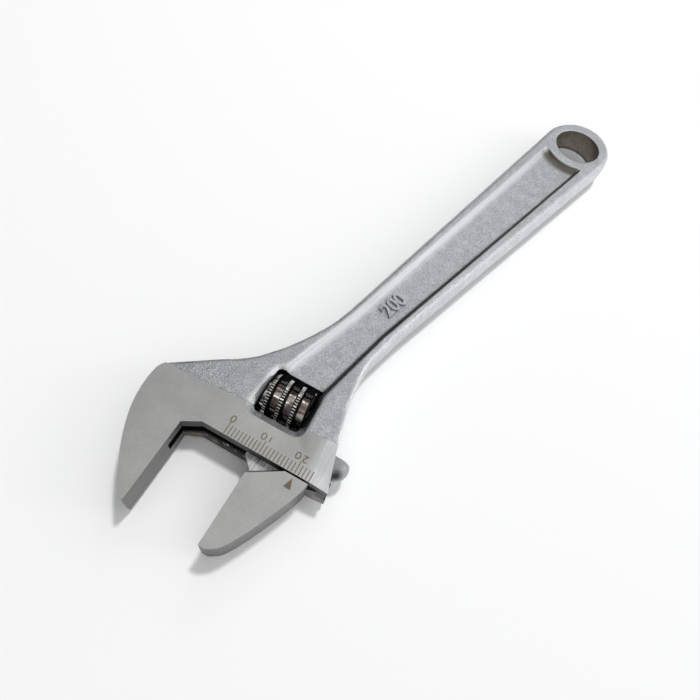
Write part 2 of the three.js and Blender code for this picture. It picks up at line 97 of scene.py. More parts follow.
# Painted shade on walls facing -X.
PAINTED_WALL_SHADE = (0.05, 0.05, 0.058)
BOSS_FOOT_BROWN = (0.16, 0.14, 0.11)
THROAT_STAIN = (0.28, 0.24, 0.19)
BORE_SHADE = (0.05, 0.045, 0.04)
RACK_SHADE = (0.03, 0.03, 0.035)
NOTCH_DARK = (0.02, 0.018, 0.016)
EDGE_GREY = (0.2, 0.2, 0.19)
# Purple-grey foot of the frame's end wall, lighter as painted light where it leans out.
LIT_EDGE_FOOT = (0.4, 0.37, 0.4)

# Soft boxes: name, way from the wrench, side in millimetres and power in watts.
LAMPS = (
    ("key", (0.04, 0.31, 0.95), 120, 6.8),
    ("window", (-0.19, 0.76, 0.62), 110, 0.42),
    ("top", (-0.17, -0.15, 0.97), 80, 0.18),
    ("side", (0.85, 0.3, 0.42), 400, 1.5),
)
LAMP_DISTANCE = 1.2  # metres from the origin

# Digits of the scale, each with the reading at its middle in millimetres.
DIGITS = (("0", -0.1), ("0", 8.6), ("1", 10.4), ("0", 18.2), ("2", 20.2))


# ---- settings
def length(name, description, millimetres, precision=4):
    return bpy.props.FloatProperty(
        name=name, description=description, default=millimetres * MM,
        unit="LENGTH", precision=precision)


def colour_of(name, description, colour):
    return bpy.props.FloatVectorProperty(
        name=name, description=description, default=colour, subtype="COLOR", min=0, max=1)


class WrenchSizes(bpy.types.PropertyGroup):
    jaw_depth: length("Jaw depth", "From the frame edge to the tips of the jaws", 24.3)
    rack_lead: length("Rack lead", "How far the rack starts behind the jaw face", 3.0)
    scale_to_face: length("Scale zero to jaw face", "From the zero tick to the movable face", 9.4)
    fixed_face: length("Fixed face", "From the zero tick back to the fixed jaw's face", 10.6)
    ground_edge: length("Ground edge", "From the frame edge to the end of the ground face", 10.1)
    ground_slant: bpy.props.FloatProperty(
        name="Ground edge slant", description="Lean of the end of the ground face",
        default=math.radians(3.8), subtype="ANGLE")
    slot_half: length("Half slot", "Half the width of the slot in the frame edge", 1.6, 5)
    flange_lean: length(
        "Flange lean", "How far the foot of the frame's front wall stands out", 0.6, 5)
    forging_voxel: length("Forging facets", "Size of the facets on the forged body", 0.38, 5)
    forging_scale: length("Forging scale", "Depth of the unevenness left by the hammer", 0.05, 5)
    edge_break: length("Edge break", "Width of the broken edges of machined parts", 0.1, 5)
    hole_centre: bpy.props.FloatVectorProperty(
        name="Hanging hole", description="From the scale's zero to the hanging hole",
        default=(46.456 * MM, 155.228 * MM, 0), subtype="XYZ", unit="LENGTH")
    hole_radius: length("Hole radius", "Radius of the hanging hole", 7.8)
    boss_radius: length("Boss radius", "Radius of the boss round the hanging hole", 12.4)
    thread_pitch: length("Thread pitch", "Pitch of the worm", 3.7)
    thread_phase: length("Thread phase", "From the worm's start to a crest on the handle side", 0.4)
    thread_crest: length("Thread crest", "Width of the knurled crest of the worm", 0.9)
    thread_depth: length("Thread depth", "Depth of the worm's thread", 1.9)
    knurl_depth: length("Knurl depth", "Depth of the notches across the worm's crest", 0.32, 5)
    knurl_count: bpy.props.IntProperty(
        name="Knurl count", description="Notches in one turn of the worm", default=52)


class WrenchMarks(bpy.types.PropertyGroup):
    tick_count: bpy.props.IntProperty(
        name="Ticks", description="Divisions marked on the scale", default=24)
    tick_pitch: length("Tick pitch", "From one tick to the next", 0.988, 5)
    tick_start: length(
        "First tick", "From the scale's zero to the middle of the first tick", -0.2, 5)
    tick_length: length("Tick length", "Length of a short tick", 2.6)
    long_tick: length("Long tick length", "Length of every tenth tick", 3.5)
    line_width: length("Line width", "Width of the etched lines", 0.25, 5)
    line_rise: length("Line rise", "How far an etched line stands off the face", 0.012, 6)
    numeral_height: length("Numeral height", "Height of the numerals of the scale", 1.9)
    numeral_row: length("Numeral row", "From the frame edge to the middle of the numerals", 4.5)
    pointer_reading: length(
        "Pointer reading", "Where the pointer stands on the scale at rest", 19.8)


class WrenchColours(bpy.types.PropertyGroup):
    chrome: colour_of("Chrome", "Plated forging", (0.61, 0.63, 0.655))
    ground: colour_of("Ground steel", "Flat ground faces", (0.595, 0.595, 0.58))
    machined: colour_of("Machined steel", "Cut walls of jaws and frame", (0.21, 0.21, 0.205))
    # Steel under oil, near black as painted shade on deep walls.
    oiled_and_shaded: colour_of("Oiled steel in painted shade", "Bare walls inside slot, bore and window", (0.03, 0.027, 0.024))
    bore: colour_of("Bore steel", "Brown wall of the hanging hole", (0.27, 0.24, 0.205))
    worm: colour_of("Worm steel", "Dark finish of the worm", (0.115, 0.092, 0.082))
    mark: colour_of("Mark", "Etched lines and numerals", (0.11, 0.08, 0.052))


class WrenchStage(bpy.types.PropertyGroup):
    camera_place: bpy.props.FloatVectorProperty(
        name="Camera place", description="From the scale's zero at half thickness",
        default=(33.5 * MM, -38.2 * MM, 141.4 * MM), subtype="XYZ", unit="LENGTH")
    camera_turn: bpy.props.FloatVectorProperty(
        name="Camera turn", description="Turn of the camera", subtype="EULER", unit="ROTATION",
        default=tuple(math.radians(angle) for angle in (28.49, -7.919, 27.866)))
    camera_lens: bpy.props.FloatProperty(
        name="Lens", description="Focal length in millimetres", default=30.02)


def settings():
    return bpy.context.scene.wrench_sizes


def colours():
    return bpy.context.scene.wrench_colours


# ---- places on the wrench
def zero_point():
    """The zero tick of the scale on the frame edge, at half thickness."""
    sizes = settings()
    face = JAW_LOW.x + sizes.rack_lead
    return Vector((face - sizes.scale_to_face, BODY_LOW.y + sizes.jaw_depth, MIDDLE_Z))


def from_zero(x, y=0.0, z=0.0):
    """A place given in millimetres from the scale's zero."""
    return zero_point() + Vector((x, y, z)) * MM


def hole_point():
    return zero_point() + Vector(settings().hole_centre)


def ground_edge_line():
    """A function that gives the Y where the ground face ends at an X."""
    sizes = settings()
    zero = zero_point()
    slope = math.tan(sizes.ground_slant)
    return lambda x: zero.y + sizes.ground_edge + (x - zero.x) * slope


def right_of_centre(points):
    """Whether each point lies on the +X side of the line from the hole to the head."""
    hole = hole_point()
    line = from_zero(HANDLE_MIDDLE) - hole
    side = (points[:, 0] - hole.x) * line.y - (points[:, 1] - hole.y) * line.x
    return side < 0


def height(face):
    """How far the middle of a face lies from the middle plane."""
    return abs(face.center.z - MIDDLE_Z)


def is_ground(face):
    return abs(face.normal.z) > 0.999 and height(face) > GROUND_HEIGHT


# ---- modelling helpers
def activate_none():
    bpy.ops.object.select_all(action="DESELECT")


def activate(piece):
    activate_none()
    piece.select_set(True)
    bpy.context.view_layer.objects.active = piece


def set_mode(mode):
    bpy.ops.object.mode_set(mode=mode)


def new_object(name, data):
    """An object at the origin that holds the data, in the scene."""
    piece = bpy.data.objects.new(name, data)
    bpy.context.scene.collection.objects.link(piece)
    return piece


def finish_modifier(piece, kind, **values):
    """Adds one modifier with its values and applies it."""
    activate(piece)
    modifier = piece.modifiers.new(kind.title(), kind)
    for key, value in values.items():
        setattr(modifier, key, value)
    bpy.ops.object.modifier_apply(modifier=modifier.name)


def bevel(piece, width, segments, angle):
    """Bevels the edges that turn by more than an angle in degrees."""
    finish_modifier(piece, "BEVEL", width=width, segments=segments, limit_method="ANGLE",
                    angle_limit=math.radians(angle))


def combine(piece, other, operation):
    """Cuts or joins with another piece, which is used up."""
    finish_modifier(piece, "BOOLEAN", object=other, operation=operation, solver="EXACT")
    bpy.data.objects.remove(other, do_unlink=True)


def in_edit_mode(piece, *steps):
    """Takes each step in edit mode, with the whole mesh selected at the start."""
    activate(piece)
    set_mode("EDIT")
    bpy.ops.mesh.select_mode(type="VERT")
    bpy.ops.mesh.select_all(action="SELECT")
    for step in steps:
        step()
    set_mode("OBJECT")


def merge_points():
    bpy.ops.mesh.remove_doubles(threshold=SAME_POINT)


def face_outwards():
    bpy.ops.mesh.select_all(action="SELECT")
    bpy.ops.mesh.normals_make_consistent(inside=False)


def dissolve(piece, angle):
    """Makes one face of those that meet at less than an angle in degrees."""
    in_edit_mode(piece, lambda: bpy.ops.mesh.dissolve_limited(angle_limit=math.radians(angle)))


def split(piece, place, normal):
    """Cuts the faces along a plane and keeps both sides."""
    in_edit_mode(piece, lambda: bpy.ops.mesh.bisect(plane_co=place, plane_no=normal))


def clear_selection(piece, kind):
    """Deselects the whole mesh, so that code can select points or faces."""
    activate(piece)
    set_mode("EDIT")
    bpy.ops.mesh.select_mode(type=kind)
    bpy.ops.mesh.select_all(action="DESELECT")
    set_mode("OBJECT")


def finish_faces(piece, material, test):
    """Gives the faces that pass the test another material."""
    piece.data.materials.append(material)
    clear_selection(piece, "FACE")
    for face in piece.data.polygons:
        face.select = test(face)
    set_mode("EDIT")
    piece.active_material_index = len(piece.data.materials) - 1
    bpy.ops.object.material_slot_assign()
    set_mode("OBJECT")


def copy_of_node(node, name):
    """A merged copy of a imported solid, to be finished as a new piece."""
    piece = new_object(name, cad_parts[node].data.copy())
    piece.data.name = name
    piece.data.materials.clear()
    in_edit_mode(piece, merge_points)
    return piece


def crisp_copy(node, name):
    """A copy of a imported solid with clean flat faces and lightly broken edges."""
    piece = copy_of_node(node, name)
    dissolve(piece, 0.5)
    bevel(piece, settings().edge_break, 1, 35)
    return piece


def box_between(name, low, high):
    low, high = Vector(low), Vector(high)
    activate_none()
    bpy.ops.mesh.primitive_cube_add(size=1, location=(low + high) / 2)
    piece = bpy.context.object
    piece.name = name
    piece.scale = high - low
    bpy.ops.object.transform_apply()
    return piece


def flat_face(name, outline):
    """One face between the points of an outline."""
    mesh = bpy.data.meshes.new(name)
    mesh.from_pydata(outline, [], [tuple(range(len(outline)))])
    return new_object(name, mesh)


def prism(name, outline, rise):
    """A flat outline drawn up to a height, closed and facing outwards."""
    piece = flat_face(name, outline)
    in_edit_mode(
        piece,
        lambda: bpy.ops.mesh.extrude_region_move(TRANSFORM_OT_translate={"value": (0, 0, rise)}),
        face_outwards)
    return piece


def text_mesh(words, place, size, turn, rise, width=1.0, swell=0.0):
    """Words as a closed mesh standing on a face, centred on a place."""
    activate_none()
    bpy.ops.object.text_add(location=place, rotation=(0, 0, turn))
    piece = bpy.context.object
    text = piece.data
    text.body = words
    text.align_x = text.align_y = "CENTER"
    text.size = size / FIGURE_SHARE
    text.extrude = rise / 2
    text.offset = swell
    piece.location.z += rise / 2
    piece.scale.x = width
    activate(piece)
    bpy.ops.object.convert(target="MESH")
    piece = bpy.context.object
    bpy.ops.object.transform_apply()
    in_edit_mode(piece, merge_points, face_outwards)
    return piece


def smooth(piece, angle):
    activate(piece)
    bpy.ops.object.shade_smooth_by_angle(angle=math.radians(angle))


def seat(piece, body, slot, *nodes):
    """Rides the piece on its body and hides the solids that it stands for."""
    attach(piece, body)
    if nodes:
        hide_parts(*nodes)


# ---- values kept on points
def point_arrays(mesh):
    """Place and normal of each point."""
    points = numpy.empty((len(mesh.vertices), 3))
    normals = numpy.empty_like(points)
    mesh.vertices.foreach_get("co", points.ravel())
    mesh.vertices.foreach_get("normal", normals.ravel())
    return points, normals


def hollowness(piece):
    """How far each point lies under its smoothed surroundings, from -1 to 1."""
    points, normals = point_arrays(piece.data)
    levelled = new_object("levelled", piece.data.copy())
    finish_modifier(levelled, "SMOOTH", factor=0.5, iterations=HOLLOW_PASSES)
    level = point_arrays(levelled.data)[0]
    bpy.data.objects.remove(levelled, do_unlink=True)
    return numpy.clip(((level - points) * normals).sum(axis=1) / HOLLOW_DEPTH, -1, 1)


def painted_shade_walls(piece):
    """How far each point faces -X, for painted shade on steep walls, from 0 to 1."""
    return numpy.clip((-point_arrays(piece.data)[1][:, 0] - 0.25) / 0.35, 0, 1)


def painted_highlight_walls(piece):
    """How far each point faces +X, for a painted highlight on gentle walls, from 0 to 1."""
    return numpy.clip((point_arrays(piece.data)[1][:, 0] - 0.06) / 0.4, 0, 1)


def keep(piece, name, values):
    attribute = piece.data.attributes.new(name, "FLOAT", "POINT")
    attribute.data.foreach_set("value", values.astype(numpy.float32))


# ---- shader helpers
def shader_group(name, *inputs):
    """A group that turns a place into the height and tone of a surface."""
    tree = bpy.data.node_groups.new(name, "ShaderNodeTree")
    sockets = tree.interface
    sockets.new_socket(name="Vector", in_out="INPUT", socket_type="NodeSocketVector")
    for label, kind, default in inputs:
        socket = sockets.new_socket(name=label, in_out="INPUT", socket_type=kind)
        socket.default_value = default
    for label in ("Height", "Tone"):
        sockets.new_socket(name=label, in_out="OUTPUT", socket_type="NodeSocketFloat")
    return tree, tree.nodes.new("NodeGroupInput"), tree.nodes.new("NodeGroupOutput")


def feed(socket, value):
    """Links a socket to another node's output, or gives it a plain value."""
    if isinstance(value, bpy.types.NodeSocket):
        socket.id_data.links.new(value, socket)
    else:
        socket.default_value = value


def noise(vector, scale, detail=2, roughness=0.5):
    node = vector.id_data.nodes.new("ShaderNodeTexNoise")
    node.inputs["Detail"].default_value = detail
    node.inputs["Roughness"].default_value = roughness
    feed(node.inputs["Vector"], vector)
    feed(node.inputs["Scale"], scale)
    return node.outputs["Fac"]


def maths_node(kind, operation, values):
    node = values[0].id_data.nodes.new(kind)
    node.operation = operation
    for socket, value in zip(node.inputs, values):
        feed(socket, value)
    return node


def maths(operation, *values):
    return maths_node("ShaderNodeMath", operation, values).outputs["Value"]


def product(first, *others):
    for other in others:
        first = maths("MULTIPLY", first, other)
    return first


def vector_maths(operation, output, *values):
    return maths_node("ShaderNodeVectorMath", operation, values).outputs[output]


def remap(value, low, high, new_low=0, new_high=1):
    """Turns the span from low to high into one from new_low to new_high, and stops there."""
    node = value.id_data.nodes.new("ShaderNodeMapRange")
    for label, number in (("Value", value), ("From Min", low), ("From Max", high),
                          ("To Min", new_low), ("To Max", new_high)):
        feed(node.inputs[label], number)
    return node.outputs["Result"]


def mix_colours(factor, first, second):
    node = factor.id_data.nodes.new("ShaderNodeMix")
    node.data_type = "RGBA"
    feed(node.inputs["Factor"], factor)
    for label, colour in (("A", first), ("B", second)):
        if not isinstance(colour, bpy.types.NodeSocket):
            colour = (*colour, 1)
        feed(node.inputs[label], colour)
    return node.outputs["Result"]


def stretched(vector, scale):
    node = vector.id_data.nodes.new("ShaderNodeMapping")
    feed(node.inputs["Vector"], vector)
    feed(node.inputs["Scale"], scale)
    return node.outputs["Vector"]


def along(vector, axis):
    node = vector.id_data.nodes.new("ShaderNodeSeparateXYZ")
    feed(node.inputs["Vector"], vector)
    return node.outputs[axis]


def object_place(tree):
    return tree.nodes.new("ShaderNodeTexCoord").outputs["Object"]


def kept_value(tree, name):
    """A value that was kept on the points of the piece."""
    node = tree.nodes.new("ShaderNodeAttribute")
    node.attribute_name = name
    return node.outputs["Fac"]


def new_material(name):
    material = bpy.data.materials.new(name)
    material.use_nodes = True
    return material, material.node_tree, material.node_tree.nodes["Principled BSDF"]


# ---- shader groups
def pebble_group():
    """Fine pebbled skin that forging scale leaves under the plating."""
    tree, start, end = shader_group(
        "Pebbled skin", ("Pebbles per Metre", "NodeSocketFloat", 2800))
    vector, scale = start.outputs["Vector"], start.outputs["Pebbles per Metre"]
    coarse = noise(vector, scale, 1.5)
    fine = noise(vector, product(scale, 2.1), 1)
    waves = noise(vector, product(scale, 0.12))
    relief = maths("MULTIPLY_ADD", fine, 0.4, coarse)
    feed(end.inputs["Height"], maths("MULTIPLY_ADD", waves, 0.7, relief))
    feed(end.inputs["Tone"], maths("MULTIPLY_ADD", waves, 0.25, product(coarse, 0.75)))
    return tree


def grain_group():
    """Fine grain of a cut face, drawn out one way, with faint clouds in its tone."""
    tree, start, end = shader_group(
        "Cut grain", ("Stretch", "NodeSocketVector", (1, 1, 1)),
        ("Lines per Metre", "NodeSocketFloat", 2600))
    vector = start.outputs["Vector"]
    drawn_out = stretched(vector, start.outputs["Stretch"])
    lines = noise(drawn_out, start.outputs["Lines per Metre"], 2, 0.6)
    clouds = noise(vector, 130, 3, 0.55)
    feed(end.inputs["Height"], lines)
    feed(end.inputs["Tone"], maths("MULTIPLY_ADD", clouds, 0.6, product(lines, 0.4)))
    return tree


GROUPS = {}


def group_node(tree, name):
    """Places one of the groups, which are made when the first is needed."""
    if not GROUPS:
        GROUPS["pebble"] = pebble_group()
        GROUPS["grain"] = grain_group()
    node = tree.nodes.new("ShaderNodeGroup")
    node.node_tree = GROUPS[name]
    feed(node.inputs["Vector"], object_place(tree))
    return node


# ---- finishes
class Finish:
    """A material whose colour, gloss and relief follow cut grain or a pebbled skin."""

    def __init__(self, name, colour, spread, rough, relief, grain=None, metallic=1.0):
        self.material, self.tree, self.shader = new_material(name)
        self.shader.inputs["Metallic"].default_value = metallic
        self.effect = group_node(self.tree, "grain" if grain else "pebble")
        for label, value in (grain or {}).items():
            self.effect.inputs[label].default_value = value
        tone = remap(self.effect.outputs["Tone"], 0.35, 0.65)
        dark = [channel * (1 - spread) for channel in colour]
        light = [min(1.0, channel * (1 + spread)) for channel in colour]
        self.colour = mix_colours(tone, dark, light)
        feed(self.shader.inputs["Base Color"], self.colour)
        feed(self.shader.inputs["Roughness"], remap(tone, 0, 1, *rough))
        self.bump = self.tree.nodes.new("ShaderNodeBump")
        self.bump.inputs["Distance"].default_value = relief
        feed(self.bump.inputs["Height"], self.effect.outputs["Height"])
        feed(self.shader.inputs["Normal"], self.bump.outputs["Normal"])

    def cover(self, mask, colour):
        """Lays another colour over the finish where the mask is 1."""
        self.colour = mix_colours(mask, self.colour, colour)
        feed(self.shader.inputs["Base Color"], self.colour)

    def flatten(self, factor):
        """Takes the relief down where the factor is below 1."""
        relief = product(self.effect.outputs["Height"], factor)
        feed(self.bump.inputs["Height"], relief)


def cut(stretch, lines):
    """Values of the cut grain: how it is drawn out and its lines per metre."""
    return {"Stretch": stretch, "Lines per Metre": lines}


def chrome_material():
    """Satin plating with painted shade in hollows and on -X walls, painted highlight on ridges,
    where the plating is also rubbed, and on +X walls, and a brown band at the boss's foot.
    """
    chrome = Finish("Satin chrome", colours().chrome, 0.28, (0.3, 0.4), 0.17 * MM)
    hollow = kept_value(chrome.tree, "hollow")
    # Painted shade in the hollows.
    chrome.cover(remap(hollow, 0.3, 1, 0, 0.25), HOLLOW_SHADE)
    # Painted highlight on the ridges, with their rubbed plating; the bump is flattened there too.
    ridge = remap(hollow, -0.15, -0.7)
    chrome.cover(product(ridge, 0.7), RIDGE_HIGHLIGHT_AND_POLISH)
    chrome.flatten(remap(ridge, 0, 1, 1, 0.35))
    # Painted highlight on walls facing +X and painted shade on walls facing -X.
    painted_wall_light = kept_value(chrome.tree, "painted_wall_light")
    chrome.cover(remap(painted_wall_light, 0, -1, 0, 0.85), PAINTED_WALL_HIGHLIGHT)
    chrome.cover(remap(painted_wall_light, 0, 1, 0, 0.85), PAINTED_WALL_SHADE)
    chrome.cover(boss_foot_band(chrome.tree), BOSS_FOOT_BROWN)
    return chrome.material


def boss_foot_band(tree):
    """Mask of the brown band at the foot of the boss, on the side of the head."""
    hole = hole_point()
    toward_head = (from_zero(HANDLE_MIDDLE) - hole).normalized()
    place = object_place(tree)
    offset = vector_maths("SUBTRACT", "Vector", place, hole)
    flat = stretched(offset, (1, 1, 0))
    reach = vector_maths("LENGTH", "Value", flat)
    headward = vector_maths("DOT_PRODUCT", "Value", flat, toward_head)
    edge = settings().boss_radius
    return product(
        remap(reach, edge - 1.3 * MM, edge - 0.8 * MM, 0, 0.9),
        remap(reach, edge + 0.9 * MM, edge + 2.8 * MM, 1, 0),
        remap(maths("DIVIDE", headward, reach), 0.8, 0.88),
        remap(along(place, "Z"), MIDDLE_Z + 4.3 * MM, MIDDLE_Z + 4 * MM))


def ground_material():
    """Ground face, polished past a wavy edge toward the end of the frame."""
    ground = Finish("Ground steel", colours().ground, 0.12, (0.44, 0.54), 0.02 * MM,
                    cut((1, 1, 1), 2400))
    place = object_place(ground.tree)
    streaks = noise(stretched(place, (1, 0.05, 1)), 900)
    wavy = maths("MULTIPLY_ADD", streaks, 2 * MM, along(place, "X"))
    polish = remap(wavy, from_zero(21.2).x, from_zero(24.4).x, 0, 0.75)
    behind_edge = maths("GREATER_THAN", along(place, "Y"), zero_point().y)
    ground.cover(product(polish, behind_edge), POLISH)
    return ground.material


def polished_material():
    """Bevel facets at the end of the frame, drawn out along their length."""
    return Finish("Polished facets", POLISH, 0.15, (0.4, 0.5), 0.03 * MM,
                  cut((1, 0.06, 1), 1500)).material


def machined_material():
    """Cut walls of the jaws, and the pin."""
    return Finish("Machined steel", colours().machined, 0.2, (0.42, 0.55), 0.1 * MM,
                  cut((1, 1, 0.4), 1800)).material


def rack_end_material(hollow):
    """End of the rack, darker toward the middle of its hollow."""
    end = Finish("Rack end", (0.42, 0.43, 0.44), 0.2, (0.45, 0.55), 0.06 * MM,
                 cut((1, 1, 1), 2600))
    middle = hollow - Vector((0, 0, 2.0)) * MM
    away = vector_maths("DISTANCE", "Value", object_place(end.tree), middle)
    end.cover(remap(away, 0.7 * MM, 2.3 * MM, 0.92, 0), RACK_SHADE)
    return end.material


def shaded_steel_material():
    """Throat and edge of the frame, at half the jaws' machined colour as painted shade."""
    # Half the machined colour: painted shade.
    colour = [channel * 0.5 for channel in colours().machined]
    shaded_steel = Finish("Machined steel in painted shade", colour, 0.35, (0.45, 0.6), 0.12 * MM,
                  cut((0.5, 0.5, 1), 1300))
    place = object_place(shaded_steel.tree)
    across, up = along(place, "X"), along(place, "Z")
    ragged = noise(place, 600, 3, 0.6)
    in_throat = maths("LESS_THAN", across, from_zero(22).x)
    under_slot = maths("LESS_THAN", up, MIDDLE_Z - 1.2 * MM)
    lower_wall = product(under_slot, in_throat)

    in_corner = remap(across, from_zero(-1).x, from_zero(-3).x)
    patchy = remap(noise(place, 500), 0.4, 0.6, 0, 0.9)
    shaded_steel.cover(product(lower_wall, in_corner, patchy), THROAT_STAIN)

    # Painted shade: near black above a ragged line on the lower wall, carrying the slot's shade
    # down it.
    foot_of_painted_slot_shade = MIDDLE_Z - 0.9 * MM
    uneven = maths("MULTIPLY_ADD", ragged, 4 * MM, up)
    painted_slot_shade = remap(uneven, foot_of_painted_slot_shade - 0.2 * MM, foot_of_painted_slot_shade + 0.3 * MM)
    shaded_steel.cover(product(painted_slot_shade, lower_wall), colours().oiled_and_shaded)

    # Painted glints along the scratch marks on the lip under the slot.
    scratch_glints = remap(noise(place, 1300, 1), 0.55, 0.62)
    lip = remap(up, MIDDLE_Z - 3.2 * MM, MIDDLE_Z - 2.2 * MM)
    past_corner = remap(across, from_zero(-1).x, from_zero(0.5).x)
    shaded_steel.cover(product(scratch_glints, lip, past_corner, lower_wall), SCRATCH_GLINT)

    at_end = remap(in_throat, 0, 1, 1, 0)
    shaded_steel.cover(product(at_end, 0.6), EDGE_GREY)
    # Painted light: the foot of the end wall is lighter and purple-grey where it leans out.
    foot = remap(up, MIDDLE_Z - 1.6 * MM, MIDDLE_Z - 3 * MM)
    patches = remap(ragged, 0.35, 0.65, 0.35, 1)
    shaded_steel.cover(product(foot, patches, at_end), LIT_EDGE_FOOT)
    return shaded_steel.material


def bright_cut_material():
    """Scratched bright cut on the neck, with painted shade toward the frame's end and along the
    jaw's top edge.
    """
    bright = Finish("Bright cut steel", (0.66, 0.65, 0.61), 0.8, (0.3, 0.45), 0.4 * MM,
                    cut((1, 0.12, 1), 2200), metallic=0.4)
    place = object_place(bright.tree)
    across = along(place, "X")
    # Painted shade toward the frame's end.
    painted_slot_shade = remap(across, from_zero(17).x, from_zero(20.5).x, 0, 0.97)
    bright.cover(painted_slot_shade, colours().oiled_and_shaded)
    # Painted shade: a dark line along the jaw's top edge.
    slope = -0.618
    edge = from_zero(9.48, -4.01)
    edge_line = edge.y + slope * edge.x
    past = maths("MULTIPLY_ADD", across, slope, along(place, "Y"))
    bright.cover(remap(past, edge_line, edge_line + 0.3 * MM, 0.95, 0), colours().oiled_and_shaded)
    return bright.material


def oiled_and_shaded_material():
    """Bare steel under old oil, near black as painted shade in deep walls and grooves."""
    return Finish("Oiled steel in painted shade", colours().oiled_and_shaded, 0.6, (0.3, 0.5), 0.1 * MM).material


def bore_material():
    """Brown wall of the hanging hole, darker at its foot."""
    bore = Finish("Bore steel", colours().bore, 0.35, (0.45, 0.6), 0.1 * MM)
    up = along(object_place(bore.tree), "Z")
    bore.cover(remap(up, BODY_LOW.z + 2.4 * MM, BODY_LOW.z + 1.6 * MM, 0, 0.5), BORE_SHADE)
    return bore.material


def worm_material():
    """Dark finish, rubbed through to the steel on the crests, with painted glints in patches on the
    flanks and darker notches.
    """
    worm = Finish("Black worm steel", colours().worm, 0.7, (0.14, 0.24), 0.02 * MM,
                  cut((1, 1, 1), 700))
    # Painted glints in patches.
    glint_patches = noise(stretched(object_place(worm.tree), (0.5, 1, 1)), 380, 3)
    worm.cover(remap(glint_patches, 0.5, 0.6, 0, 0.85), PAINTED_FLANK_GLINT)
    crest = kept_value(worm.tree, "crest")
    # Darker in the notches.
    worm.cover(remap(crest, 0, -0.6), NOTCH_DARK)
    worm.cover(remap(crest, 0, 0.5), WORN_CREST)
    return worm.material


def mark_material():
    """Etched brown lines, with no metal to be seen in them."""
    light = 1.45
    colour = [channel * light for channel in colours().mark]
    return Finish("Etched mark", colour, 1 - 1 / light, (0.55, 0.75), 0.02 * MM,
                  cut((1, 1, 1), 2600), metallic=0).material


